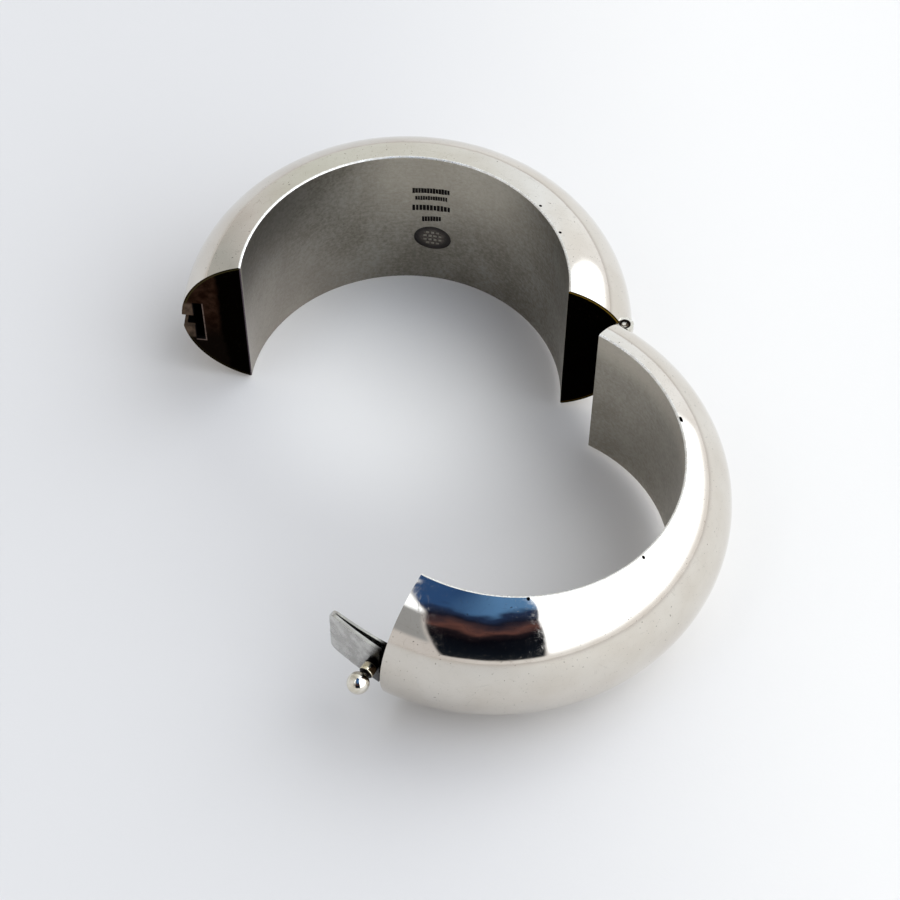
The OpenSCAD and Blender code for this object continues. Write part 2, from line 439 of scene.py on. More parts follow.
# Sunk oval with raised dots: its middle, its half width and half height, and the dots' rows
OVAL_AT = (86.3, -5.0)
OVAL_SIZE = (3.7, 3.15)
OVAL_DEPTH = 0.1
DOT_ROWS = ((-1.45, 3), (-0.5, 4), (0.5, 4), (1.45, 3))
DOT_PITCH = 1.0
# Width and height of a dot, and how far it reaches into the metal and out of it
DOT_SIZE = (0.68, 0.6, 1.5)
# The disc that cuts the oval is this thick
DISC_T = 1.0


def mark_cells(tree, count, place, width, height, depth, finish, seed=0):
    """Punched cells on the wall, each at the (angle, height) that place(index) says, and none quite
    as wide or tall as the next."""
    line = node(tree, "GeometryNodeMeshLine", Count=count).outputs["Mesh"]
    index = Formula(tree, node(tree, "GeometryNodeInputIndex").outputs[0])
    angle, z = place(index)
    spot = node(tree, "ShaderNodeCombineXYZ", X=cosine(angle) * float(WRIST_R),
                Y=sine(angle) * float(WRIST_R), Z=z).outputs[0]
    points = node(tree, "GeometryNodeSetPosition", Geometry=line, Position=spot).outputs[0]
    cell = node(tree, "GeometryNodeMeshCube", Size=(2 * depth, width, height)).outputs["Mesh"]
    turn = node(tree, "ShaderNodeCombineXYZ", Z=angle).outputs[0]
    varied = node(tree, "FunctionNodeRandomValue", {"data_type": "FLOAT_VECTOR"},
                  Min=(1.0, 0.8, 0.8), Max=(1.0, 1.0, 1.0), Seed=seed).outputs[0]
    cells = node(tree, "GeometryNodeInstanceOnPoints", Points=points,
                 Instance=labelled(tree, cell, finish), Rotation=turn, Scale=varied).outputs[0]
    return node(tree, "GeometryNodeRealizeInstances", Geometry=cells).outputs[0]


def struck_marks(tree):
    """Every punched cell of the generic marks, one cutter for each row, and the sunk oval."""
    rows = []
    for seed, (first, last, z, count, width, height) in enumerate(MARK_ROWS):
        step = math.radians(last - first) / (count - 1)
        fall = MARK_SLANT / (count - 1)
        rows.append(mark_cells(
            tree, count, lambda i, a=math.radians(first), s=step, h=z + MARK_SLANT / 2, f=fall: (
                i * s + a, h - i * f), width, height, MARK_DEPTH, STRUCK, seed))
    middle, z = math.radians(OVAL_AT[0]), OVAL_AT[1]
    disc = rod(tree, 1.0, DISC_T, FIELD, 64)
    upright = moved(tree, disc, (0.0, 0.0, 0.0), (0.0, math.pi / 2, 0.0))
    reach = WRIST_R + OVAL_DEPTH - DISC_T / 2
    oval = moved(tree, upright, (reach * math.cos(middle), reach * math.sin(middle), z),
                 (0.0, 0.0, middle), (1.0, OVAL_SIZE[0], OVAL_SIZE[1]))
    pitch = DOT_PITCH / WRIST_R
    dots = [mark_cells(
        tree, count, lambda i, n=count, h=height: ((i - (n - 1) / 2) * pitch + middle, z + h),
        *DOT_SIZE, FIELD, seed) for seed, (height, count) in enumerate(DOT_ROWS)]
    rows.append(cut(tree, oval, dots))
    return rows


def catch_cutters(tree):
    """The slot in the back half's free end plate, with the notch that lets the neck in."""
    past = 1.0
    notch_from = -CREST_X - past
    notch_to = -SLOT_OUT + SLOT_PLAY
    middle = (notch_from + notch_to) / 2
    notch_end = rod(tree, NOTCH_R, notch_to - notch_from, PLATE, 48)
    return [
        block(tree, (-SLOT_OUT, -past, CLASP_Z - SLOT_H / 2),
              (-SLOT_IN, PLATE_BACK + past, CLASP_Z + SLOT_H / 2), INSIDE),
        block(tree, (notch_from, -past, CLASP_Z - NOTCH_R), (notch_to, NECK_AT, CLASP_Z + NOTCH_R), PLATE),
        moved(tree, notch_end, (middle, NECK_AT, CLASP_Z), (0.0, math.pi / 2, 0.0))]


def half_tree(name, side, ring_tree, finishes):
    """Node tree of one hollow half as it stands when the bangle is shut, with the bangle's middle at
    z = 0. side is 1 for the back half and -1 for the front half. finishes gives each label its
    material."""
    tree, _ = new_tree(name)

    def half_ring(**sizes):
        ring = node(tree, "GeometryNodeGroup", {"node_tree": ring_tree}, Shift=float(side * DOME_SHIFT),
                    **sizes).outputs[0]
        if side > 0:
            return ring
        mirrored = moved(tree, ring, (0.0, 0.0, 0.0), scale=(1.0, -1.0, 1.0))
        return node(tree, "GeometryNodeFlipFaces", Mesh=mirrored).outputs[0]

    hollow = labelled(tree, half_ring(
        Wall_Radius=float(WRIST_R + SHEET_T), Section_Radius=float(DOME_R - SHEET_T),
        Half_Height=float(DOME_R), Rim_Width=0.05, Rim_Drop=0.03,
        Steps_Round=100, Steps_Over=32, Steps_Rim=1), INSIDE)
    hollow = cut(tree, hollow, beyond_meeting_line(tree, side, PLATE_BACK, INSIDE) + [upright_rod(
        tree, GROOVE_R + SHEET_T, -GROOVE_END - SHEET_T, GROOVE_END + SHEET_T, INSIDE, steps=48)])
    solid_half = cut(tree, half_ring(), beyond_meeting_line(tree, side, FACE_Y, PLATE))
    shell = cut(tree, solid_half, [hollow])
    middle_l = MID_KNUCKLE_L / 2
    outer_l = middle_l + KNUCKLE_GAP
    end_l = BARREL_L / 2
    if side > 0:
        knuckles = [upright_rod(tree, KNUCKLE_R, outer_l, end_l, KNUCKLE),
                    upright_rod(tree, KNUCKLE_R, -end_l, -outer_l, KNUCKLE)]
        cutters = [upright_rod(tree, GROOVE_R, -outer_l, outer_l, KNUCKLE)]
        cutters += catch_cutters(tree) + struck_marks(tree)
        cutters += [pit_cutter(tree, place) for place in BACK_PITS]
    else:
        knuckles = [upright_rod(tree, KNUCKLE_R, -middle_l, middle_l, KNUCKLE)]
        cutters = [upright_rod(tree, GROOVE_R, middle_l, GROOVE_END, KNUCKLE),
                   upright_rod(tree, GROOVE_R, -GROOVE_END, -middle_l, KNUCKLE)]
        cutters += [pit_cutter(tree, place) for place in FRONT_PITS]
        reach = LONG_PIT_L / 2 - PIT_R
        cutters += [pit_cutter(tree, LONG_PIT, reach * share / 3) for share in range(-3, 4)]
    cutters.append(upright_rod(tree, BORE_R, -end_l - 1, end_l + 1, INSIDE, steps=48))
    solid = cut(tree, boolean(tree, "UNION", Mesh_2=[shell] + knuckles), cutters)
    shape = node(tree, "GeometryNodeRealizeInstances", Geometry=solid).outputs[0]
    for label, material in finishes.items():
        finish = node(tree, "GeometryNodeInputNamedAttribute", {"data_type": "INT"}, Name=FINISH)
        chosen = node(tree, "FunctionNodeCompare", {"data_type": "INT", "operation": "EQUAL"})
        feed(tree, chosen.inputs[2], finish.outputs[0])
        feed(tree, chosen.inputs[3], label)
        shape = node(tree, "GeometryNodeSetMaterial", Geometry=shape, Selection=chosen.outputs[0],
                     Material=material).outputs[0]
    return finish_tree(tree, shape)


def placed(name, data):
    """New object of this mesh or camera, in the scene."""
    made = bpy.data.objects.new(name, data)
    bpy.context.scene.collection.objects.link(made)
    return made


def applied(made):
    """Bakes an object's modifiers into its mesh."""
    graph = bpy.context.evaluated_depsgraph_get()
    mesh = bpy.data.meshes.new_from_object(made.evaluated_get(graph))
    made.modifiers.clear()
    made.data = mesh
    return made


def made_by(tree, name):
    """The plain mesh object that a node tree makes."""
    carrier = placed(name, bpy.data.meshes.new(name))
    carrier.modifiers.new("nodes", "NODES").node_group = tree
    return applied(carrier)


def half_width(y):
    """Half the height of the tongue at a distance from the meeting line, where its tip is rounded."""
    into_tip = max(0.0, y - (TONGUE_L - TIP_R))
    return TONGUE_H / 2 - TIP_R + math.sqrt(max(0.0, TIP_R ** 2 - into_tip ** 2))


def on_arc(radius, y):
    """Point of the arc of this radius about the hinge, at a distance from the meeting line."""
    return HINGE_X - math.sqrt(radius ** 2 - y ** 2), y


def round_fold(radius, degrees):
    """Point of a circle about the fold, at an angle from the direction away from the hinge."""
    outward = math.atan2(FOLD_Y, FOLD_X - HINGE_X) - math.radians(degrees)
    return FOLD_X + radius * math.cos(outward), FOLD_Y + radius * math.sin(outward)


def strip_mesh(name, inner, outer, material, bevel, lean=0.0):
    """Closed strip between two lists of (x, y) points that run side by side, with softened edges.
    Its root leans by this angle."""
    corners = []
    for index, (one, other) in enumerate(zip(inner, outer)):
        for (x, y) in (one, other):
            reach = half_width(y)
            sway = reach * math.tan(lean) if index == 0 else 0.0
            corners += [(x, y + sway, CLASP_Z - reach), (x, y - sway, CLASP_Z + reach)]
    faces = []
    for i in range(len(inner) - 1):
        a, b = 4 * i, 4 * i + 4
        faces += [(a, b, b + 1, a + 1), (a + 2, a + 3, b + 3, b + 2),
                  (a, a + 2, b + 2, b), (a + 1, b + 1, b + 3, a + 3)]
    last = 4 * (len(inner) - 1)
    faces += [(0, 1, 3, 2), (last, last + 2, last + 3, last + 1)]
    return bevelled(piece_from(name, corners, faces, TONGUE, material), bevel)


def piece_from(name, corners, faces, label, material):
    """Object with these points in millimetres and faces, its normals outward, and one finish."""
    mesh = bpy.data.meshes.new(name)
    mesh.from_pydata(corners, [], faces)
    mesh.validate()
    made = placed(name, mesh)
    outward(mesh)
    marks = mesh.attributes.new(FINISH, "INT", "FACE")
    marks.data.foreach_set("value", [label] * len(mesh.polygons))
    mesh.materials.append(material)
    return made


def outward(mesh):
    """Turns every face of a closed mesh outward, after its doubles are merged."""
    shape = bmesh.new()
    shape.from_mesh(mesh)
    bmesh.ops.remove_doubles(shape, verts=shape.verts, dist=WELD)
    bmesh.ops.recalc_face_normals(shape, faces=shape.faces)
    shape.to_mesh(mesh)
    shape.free()


def bevelled(made, width):
    edge = made.modifiers.new("edges", "BEVEL")
    edge.width = width
    edge.segments = 3
    edge.limit_method = "ANGLE"
    edge.angle_limit = BEVEL_ANGLE
    edge.use_clamp_overlap = True
    return applied(made)


def united(base, other):
    """Joins another solid to this one, which then is the one object left."""
    union = base.modifiers.new("union", "BOOLEAN")
    union.operation = "UNION"
    union.solver = "MANIFOLD"
    union.material_mode = "TRANSFER"
    union.object = other
    applied(base)
    bpy.data.objects.remove(other)
    return base


def spaced(first, last, count):
    return [first + (last - first) * i / (count - 1) for i in range(count)]


def inner_strip(material):
    """The fixed inner strip of the tongue with the fold that ends it."""
    meets = math.degrees(math.acos((STRIP_OUT - STRIP_IN - FOLD_R) / FOLD_R))
    outer_end = round_fold(FOLD_R, -meets)[1]
    inner = [on_arc(STRIP_IN, y) for y in spaced(STRIP_Y, FOLD_Y, 24)]
    outer = [on_arc(STRIP_OUT, y) for y in spaced(STRIP_Y, outer_end, 24)]
    inner += [round_fold(FOLD_R, angle) for angle in spaced(172, 91, 14)]
    outer += [round_fold(FOLD_R, angle) for angle in spaced(-meets + 6, 89, 14)]
    return strip_mesh("inner_strip", inner, outer, material, STRIP_BEVEL)


def turned_about(x, y, angle):
    """The turn by this angle about the upright axis through x and y."""
    turn = Matrix.Translation((x, y, 0)) @ Matrix.Rotation(angle, 4, "Z")
    return turn @ Matrix.Translation((-x, -y, 0))


def sprung_leaf(material):
    """The sprung outer leaf of the tongue, turned out about the fold."""
    seat = FOLD_R + FOLD_PLAY
    middle = STRIP_IN + FOLD_R
    from_angle = math.degrees(math.acos((LEAF_IN - middle) / seat))
    to_angle = math.degrees(math.acos((LEAF_OUT - middle) / seat))
    inner_end = round_fold(seat, -from_angle)[1]
    inner = [on_arc(LEAF_IN, y) for y in spaced(LEAF_Y, inner_end, 22)]
    outer = [on_arc(LEAF_OUT, y) for y in spaced(LEAF_Y, inner_end, 22)]
    inner += [round_fold(seat, -angle) for angle in spaced(from_angle - 4, to_angle + 2, 8)]
    outer += [on_arc(LEAF_OUT, y) for y in spaced(inner_end + 0.03, round_fold(seat, -to_angle)[1], 8)]
    leaf = strip_mesh("push_leaf_dressed", inner, outer, material, LEAF_BEVEL, CLASP_LEAN)
    leaf.data.transform(turned_about(FOLD_X, FOLD_Y, -LEAF_ANGLE))
    return leaf


# The neck is a little thinner where it leaves the leaf, and its collar has a softened edge
NECK_STEP = 0.12
COLLAR_EDGE = 0.16
BALL_STEPS = 40


def ball_outline():
    """Outline of the neck, its collar, the stem and the ball: how far out from the wrist axis, and
    radius."""
    root_x = LEAF_FACE - LEAF_T / 2
    thin = NECK_R - NECK_STEP
    outline = [(root_x, 0.0), (root_x, thin)]
    outline += [(LEAF_FACE + 0.15, thin), (LEAF_FACE + 0.3, NECK_R - NECK_STEP / 3)]
    for angle in spaced(0, 90, 6):
        turn = math.radians(angle)
        outline.append((NECK_END - COLLAR_EDGE * (1 - math.sin(turn)),
                        NECK_R - COLLAR_EDGE * (1 - math.cos(turn))))
    outline += [(NECK_END, STEM_R + 0.06), (NECK_END + 0.05, STEM_R)]
    first = math.asin(STEM_R / BALL_R)
    for angle in spaced(first, math.pi, BALL_STEPS):
        outline.append((BALL_X - BALL_R * math.cos(angle), BALL_R * math.sin(angle)))
    outline[-1] = (BALL_X + BALL_R, 0.0)
    return outline


def turned_ball(material, steps=64):
    """Neck, collar, stem and ball, turned about their own axis."""
    outline = ball_outline()
    corners, faces, rings = [], [], []
    for out, radius in outline:
        if radius == 0.0:
            rings.append([len(corners)] * steps)
            corners.append((-out, NECK_AT, CLASP_Z))
            continue
        rings.append(list(range(len(corners), len(corners) + steps)))
        for i in range(steps):
            turn = 2 * math.pi * i / steps
            corners.append((-out, NECK_AT + radius * math.cos(turn), CLASP_Z + radius * math.sin(turn)))
    for one, other in zip(rings, rings[1:]):
        for i in range(steps):
            j = (i + 1) % steps
            ring = [one[i], one[j], other[j], other[i]]
            faces.append([c for k, c in enumerate(ring) if c not in ring[:k]])
    return piece_from("turned_ball", corners, faces, COLLAR, material)


OPENED = turned_about(HINGE_X, 0, OPEN_ANGLE)
LIFTED = Matrix.Scale(MM, 4) @ Matrix.Translation((0, 0, HALF_H))


def unit(rows):
    return rows / np.maximum(np.linalg.norm(rows, axis=1, keepdims=True), 1e-12)


def true_normals(made):
    """Normals of the true surface at each corner of a shut half, so that the mirror polish reflects
    without facets. Flat faces keep their own."""
    mesh = made.data
    count, corners = len(mesh.polygons), len(mesh.loops)
    label, start, size = np.zeros(count, int), np.zeros(count, int), np.zeros(count, int)
    mesh.attributes[FINISH].data.foreach_get("value", label)
    mesh.polygons.foreach_get("loop_start", start)
    mesh.polygons.foreach_get("loop_total", size)
    flat, spots, which = np.zeros(count * 3), np.zeros(len(mesh.vertices) * 3), np.zeros(corners, int)
    mesh.polygons.foreach_get("normal", flat)
    mesh.vertices.foreach_get("co", spots)
    mesh.loops.foreach_get("vertex_index", which)
    owner = np.repeat(np.arange(count), size)
    p = spots.reshape(-1, 3)[which]
    flat = flat.reshape(-1, 3)[owner]
    label = label[owner]
    normal = flat.copy()

    reach = np.hypot(p[:, 0], p[:, 1] - DOME_SHIFT)
    out = (reach - RING_R) / DOME_R
    dome = np.column_stack([out * p[:, 0] / reach, out * (p[:, 1] - DOME_SHIFT) / reach,
                            p[:, 2] / DOME_R])
    on_dome = (label == DOME) & (np.abs(flat[:, 2]) < 0.9999)
    normal[on_dome] = unit(dome)[on_dome]

    radius = np.hypot(p[:, 0], p[:, 1])
    wall = np.column_stack([-p[:, 0] / radius, -p[:, 1] / radius, np.zeros(corners)])
    normal[label == WALL] = wall[label == WALL]

    lean = np.clip(1 - (radius - WRIST_R) / RIM_W, 0, 1)
    rise = np.sqrt(1 - lean ** 2) * np.sign(p[:, 2])
    rim = unit(wall * (RIM_DROP * lean)[:, None] + np.outer(RIM_W * rise, (0, 0, 1)))
    normal[label == RIM] = rim[label == RIM]

    round_x, round_y = p[:, 0] - HINGE_X, p[:, 1]
    far = np.maximum(np.hypot(round_x, round_y), 1e-9)
    barrel = np.column_stack([round_x / far, round_y / far, np.zeros(corners)])
    barrel *= np.sign((barrel * flat).sum(1))[:, None]
    on_barrel = (label == KNUCKLE) & (np.abs(flat[:, 2]) < 0.5)
    normal[on_barrel] = barrel[on_barrel]
    return normal


def settled(made, opened, normals=None):
    """Puts a piece where it stands at rest, in metres, and sets its normals or else keeps its sharp
    edges sharp."""
    mesh = made.data
    mesh.transform(LIFTED @ OPENED if opened else LIFTED)
    mesh.polygons.foreach_set("use_smooth", [True] * len(mesh.polygons))
    mesh.update()
    if normals is None:
        mesh.set_sharp_from_angle(angle=SHARP_ANGLE)
    else:
        turn = np.array((OPENED if opened else Matrix()).to_3x3())
        mesh.normals_split_custom_set([tuple(n) for n in normals @ turn.T])
    mesh.name = made.name
    return made


def linear(red, green, blue):
    """Colour of a picture, 0 to 255, as the light that it stands for."""
    def channel(value):
        value /= 255
        return value / 12.92 if value <= 0.04045 else ((value + 0.055) / 1.055) ** 2.4
    return channel(red), channel(green), channel(blue), 1.0


# What polished silver reflects
SILVER_LOOK = (214, 208, 198)
SILVER = linear(*SILVER_LOOK)


def grain(vector, scale, detail=2.0, rough=0.5):
    """Even noise from 0 to 1 with this many grains to a millimetre."""
    tree = vector.id_data
    made = node(tree, "ShaderNodeTexNoise", {"normalize": True}, Vector=vector, Scale=scale,
                Detail=detail, Roughness=rough)
    return Formula(tree, made.outputs[0])


def eased(value, low, high, to_low=0.0, to_high=1.0):
    """Goes smoothly from to_low to to_high while the value goes from low to high."""
    tree = value.tree
    made = node(tree, "ShaderNodeMapRange", {"interpolation_type": "SMOOTHSTEP"})
    for index, number in enumerate((value, low, high, to_low, to_high)):
        feed(tree, made.inputs[index], number)
    return Formula(tree, made.outputs[0])


def within(value, low, high, soft):
    """1 between low and high and 0 outside, with soft borders."""
    return eased(value, low - soft, low + soft) * eased(value, high - soft, high + soft, 1.0, 0.0)


def blended(share, under, over):
    """Colour that goes from under to over. Three numbers are a picture's colour, 0 to 255."""
    made = node(share.tree, "ShaderNodeMix", {"data_type": "RGBA"}, Factor=share)
    for place, colour in zip(made.inputs[6:8], (under, over)):
        plain = isinstance(colour, tuple) and len(colour) == 3
        feed(share.tree, place, linear(*colour) if plain else colour)
    return made.outputs[2]


def scaled(vector, factors):
    """Vector with each part multiplied, which stretches a pattern."""
    tree = vector.id_data
    made = node(tree, "ShaderNodeVectorMath", {"operation": "MULTIPLY"})
    feed(tree, made.inputs[0], vector)
    made.inputs[1].default_value = factors
    return made.outputs[0]


def new_finish(name, colour, metallic, roughness, gloss=0.5):
    """Material with its mean look, and its own place in millimetres, ready for its pattern."""
    material = bpy.data.materials.new(name)
    material.use_nodes = True
    tree = material.node_tree
    surface = tree.nodes["Principled BSDF"]
    surface.inputs["Base Color"].default_value = linear(*colour)
    surface.inputs["Metallic"].default_value = metallic
    surface.inputs["Roughness"].default_value = roughness
    surface.inputs["Specular IOR Level"].default_value = gloss
    own = node(tree, "ShaderNodeTexCoord").outputs["Object"]
    return material, scaled(own, (1 / MM, 1 / MM, 1 / MM))


def dressed(material, colour, rough, height, reach):
    """The material with this colour and roughness, and with bumps of a height in millimetres times
    reach."""
    tree = material.node_tree
    bump = node(tree, "ShaderNodeBump", Strength=1.0, Distance=reach * MM, Height=height)
    for label, value in (("Base Color", colour), ("Roughness", rough), ("Normal", bump.outputs[0])):
        feed(tree, tree.nodes["Principled BSDF"].inputs[label], value)
    return material


def scratches(place, scale, width, sway=0.35):
    """Long thin scratches: 1 on a scratch and 0 elsewhere. scale is how many cross a millimetre."""
    tree = place.id_data
    wander = node(tree, "ShaderNodeTexNoise", Vector=place, Scale=0.25, Detail=1.0).outputs[1]
    bent = node(tree, "ShaderNodeVectorMath", {"operation": "ADD"})
    feed(tree, bent.inputs[0], place)
    tree.links.new(scaled(wander, (sway, sway, sway)), bent.inputs[1])
    cells = node(tree, "ShaderNodeTexVoronoi", {"feature": "DISTANCE_TO_EDGE"},
                 Vector=bent.outputs[0], Scale=scale, Randomness=1.0)
    return eased(Formula(tree, cells.outputs[0]), 0.0, width, 1.0, 0.0)


def polished_silver(name):
    """Mirror polish that has been worn: fine scratches, a few specks and a slight unevenness."""
    material, place = new_finish(name, SILVER_LOOK, 1.0, 0.06)
    cloud = grain(place, 0.12, 3.0)
    dull = grain(place, 0.9, 4.0, 0.6)
    lines = scratches(scaled(place, (0.9, 0.25, 0.9)), 0.8, 0.02)
    crossing = scratches(scaled(place, (0.25, 0.8, 0.5)), 0.7, 0.018)
    fine = most(lines, crossing) * eased(dull, 0.45, 0.65)
    speck = eased(grain(place, 2.6, 0.0), 0.80, 0.83)
    colour = blended(eased(cloud, 0.3, 0.75), (217, 212, 203), (208, 201, 190))
    colour = blended(fine * 0.25, colour, (150, 143, 132))
    colour = blended(speck * 0.6, colour, (90, 82, 72))
    rough = eased(dull, 0.3, 0.8, 0.04, 0.1) + fine * 0.06 + speck * 0.06
    waves = grain(place, 0.16, 1.0) * 30.0
    height = waves + dull * 0.35 - fine * 0.8 - speck * 1.5
    return dressed(material, colour, rough, height, 0.001)


def satin_silver(name):
    """Wall towards the wrist: dulled silver, finely brushed round the wall and faintly clouded."""
    material, place = new_finish(name, (124, 120, 113), 1.0, 0.42)
    cloud = grain(place, 0.09, 3.0, 0.55)
    mottle = grain(place, 1.4, 4.0, 0.65)
    brush = grain(scaled(place, (0.35, 0.35, 5.0)), 1.6, 3.0)
    lines = scratches(scaled(place, (0.5, 0.5, 1.6)), 0.9, 0.02)
    x, y, z = parts_of(place)
    tone = cloud * 0.35 + mottle * 0.45 + brush * 0.2
    colour = blended(eased(tone, 0.34, 0.66), (115, 109, 97), (157, 153, 143))
    # Painted light: the wall is lighter low down beside the clasp, and a painted reflection makes it paler
    # high up in the middle of the back half and along the front half's upper rim. It is also darker high
    # up beside the clasp
    low_painted_light = eased(x * -1.0 - z * 0.5, 4.0, 26.0)
    on_back = eased(y, -0.5, 0.5)
    back_painted_reflection = on_back * within(x, -11.0, 21.0, 7.0) * eased(z, 10.0, 29.0, 0.05, 0.55)
    front_painted_light = (1.0 - on_back) * eased(z, 24.0, 31.0, 0.28, 0.85)
    darker_high_by_clasp = eased(x * -1.0, 12.0, 26.0) * eased(z, 16.0, 30.0) * on_back
    colour = blended(low_painted_light * 0.7, colour, (180, 172, 162))
    colour = blended(back_painted_reflection + front_painted_light, colour, (196, 189, 175))
    colour = blended(darker_high_by_clasp * 0.5, colour, (76, 72, 64))
    colour = blended(lines * 0.25, colour, (86, 80, 72))
    rough = eased(tone, 0.35, 0.65, 0.44, 0.36)
    return dressed(material, colour, rough, mottle * 0.9 + brush * 0.5 - lines * 1.0, 0.004)


def rim_silver(name):
    """Bright softened edge between the wall and the dome, frosted by wear. Its near-white colour, brighter
    than the dome's silver, is partly a painted glint.
    """
    material, place = new_finish(name, (244, 243, 239), 0.6, 0.2)
    worn = grain(place, 1.2, 3.0)
    nick = eased(grain(place, 2.2, 1.0), 0.72, 0.78)
    colour = blended(eased(worn, 0.35, 0.7), (240, 238, 232), (214, 209, 199))
    colour = blended(nick * 0.35, colour, (120, 112, 100))
    return dressed(material, colour, eased(worn, 0.3, 0.7, 0.24, 0.36), worn * 1.0 - nick * 1.5, 0.002)


def knuckle_silver(name):
    """Hinge knuckles: rubbed bright, with painted shadow that makes them black in the groove round them
    and about the pin.
    """
    material, place = new_finish(name, (236, 232, 224), 1.0, 0.25)
    worn = grain(place, 1.4, 3.0)
    x, y, _ = parts_of(place)
    reach = length_of(x - float(HINGE_X), y)
    reach = reach + worn * 0.16 - 0.08
    colour = blended(eased(worn, 0.35, 0.7), (236, 233, 226), (206, 200, 188))
    # Painted shadow: black in the gap about the pin and in the groove round the knuckles
    pin_gap_shadow = eased(reach, PIN_R + 0.34, PIN_R + 0.46, 1.0, 0.0)
    groove_shadow = eased(reach, KNUCKLE_R + 0.08, KNUCKLE_R + 0.2)
    painted_shadow = most(pin_gap_shadow, groove_shadow)
    colour = blended(painted_shadow, colour, (22, 14, 10))
    return dressed(material, colour, eased(worn, 0.3, 0.7, 0.18, 0.3) + painted_shadow * 0.4, worn * 2.0, 0.003)


def shut_place(place, opened):
    """Parts of a place in millimetres, as they are when the bangle is shut."""
    x, y, z = parts_of(place)
    if not opened:
        return x, y, z
    cos, sin = math.cos(OPEN_ANGLE), math.sin(OPEN_ANGLE)
    out = x - HINGE_X
    return out * cos + y * sin + HINGE_X, y * cos - out * sin, z


def dark_patina(name, opened):
    """End plates left black and brown by age, with painted highlights along their edges. The brown is on
    the clasp's side.
    """
    material, place = new_finish(name, (18, 12, 10), 0.0, 0.6, 0.0)
    cloud = grain(place, 0.5, 4.0, 0.6)
    mottle = grain(place, 2.4, 3.0)
    x, y, z = shut_place(place, opened)
    brown = blended(eased(cloud, 0.35, 0.7), (25, 12, 6), (50, 33, 24))
    brown = blended(eased(z, 11.0, 19.0, 1.0, 0.0), brown, (15, 10, 7))
    # Black beside the wall, with a border that leans outward above the slot
    border = eased(z, 6.0, 14.0, -34.1, -35.0)
    black = eased(x - border + cloud * 1.6 - 0.8, -0.6, 0.6)
    colour = blended(black, brown, (3, 2, 1))
    colour = blended(eased(mottle, 0.62, 0.8) * 0.12, colour, (90, 74, 60))
    # Painted highlights: light lines along the dome, the wall and the slot
    reach = length_of(x, y - float(DOME_SHIFT)) - float(RING_R)
    section = length_of(reach, z - float(HALF_H))
    at_clasp = eased(x, -1.0, 1.0, 1.0, 0.0)
    tint = blended(at_clasp, (122, 96, 34), (58, 52, 30))
    upper = eased(z, 14.0, 20.0, 0.25, 1.0)
    edge = most(within(section, DOME_R - 0.55, DOME_R - 0.3, 0.06),
                eased(section, DOME_R - 0.2, DOME_R - 0.1) * 0.6)
    colour = blended(edge * upper, colour, tint)
    at_wall = eased(length_of(x, y), WRIST_R + 0.16, WRIST_R + 0.3, 1.0, 0.0) * at_clasp
    colour = blended(at_wall * 0.8, colour, (106, 94, 100))
    # Painted highlights on the slot's edges and lips
    low, high = HALF_H + CLASP_Z - SLOT_H / 2, HALF_H + CLASP_Z + SLOT_H / 2
    edge = within(x, -SLOT_IN, -SLOT_IN + 0.24, 0.06) * within(z, low - 0.3, high, 0.1)
    edge = most(edge, within(x, -SLOT_OUT, -SLOT_IN, 0.05) * within(z, low - 0.3, low, 0.06))
    lips = eased(x, -SLOT_OUT - 0.15, -SLOT_OUT + 0.15, 1.0, 0.0) * within(z, low + 0.6, high - 0.4, 0.5)
    colour = blended(lips * eased(cloud, 0.3, 0.65, 0.35, 1.0), colour, (96, 80, 67))
    colour = blended(edge * eased(mottle, 0.3, 0.6, 0.5, 1.0), colour, (112, 96, 88))
    return dressed(material, colour, eased(cloud, 0.3, 0.7, 0.5, 0.65), mottle * 1.0 + cloud * 2.0, 0.006)


def struck_field(name):
    """Brown, dulled metal in the sunk oval, blackest along its border."""
    material, place = new_finish(name, (70, 62, 56), 0.3, 0.6)
    mottle = grain(place, 2.0, 4.0)
    x, y, z = shut_place(place, False)
    turn = math.radians(OVAL_AT[0])
    across = (y * math.cos(turn) - x * math.sin(turn)) * (1 / OVAL_SIZE[0])
    upward = (z - (HALF_H + OVAL_AT[1])) * (1 / OVAL_SIZE[1])
    border = eased(length_of(across, upward), 0.5, 0.85)
    colour = blended(eased(mottle, 0.35, 0.7), (62, 55, 50), (104, 96, 88))
    colour = blended(border, colour, (34, 28, 25))
    return dressed(material, colour, eased(mottle, 0.3, 0.7, 0.5, 0.7), mottle, 0.01)


def mottled(name, mean, grains, under, over, spread, rough, relief):
    """Metal mottled with two colours, under and over, that meet within this spread of the noise. mean
    is its mean look, and grains are the noise's scale and detail."""
    material, place = new_finish(name, *mean)
    mottle = grain(place, *grains)
    colour = blended(eased(mottle, *spread), under, over)
    return dressed(material, colour, eased(mottle, 0.3, 0.7, *rough), mottle, relief)


def clasp_silver(name):
    """Tongue of the clasp: rubbed bright towards its tip, and black at its root."""
    material, place = new_finish(name, (200, 197, 190), 1.0, 0.3)
    cloud = grain(place, 0.35, 3.0, 0.5)
    mottle = grain(place, 1.6, 3.0)
    lines = scratches(scaled(place, (1.0, 0.5, 1.5)), 1.0, 0.025)
    _, along, z = shut_place(place, True)
    colour = blended(eased(cloud, 0.35, 0.68), (176, 174, 170), (206, 205, 201))
    colour = blended(lines * 0.3, colour, (120, 114, 104))
    # The black border leans from the root at the top to further out at the bottom
    root_edge = along + (z - (HALF_H + CLASP_Z)) * 0.35 + mottle * 0.8 - 0.4
    colour = blended(eased(root_edge, 2.2, 4.3, 1.0, 0.0), colour, (24, 21, 19))
    rough = eased(cloud, 0.35, 0.7, 0.3, 0.2)
    return dressed(material, colour, rough, mottle * 0.5 + cloud - lines * 1.4, 0.003)


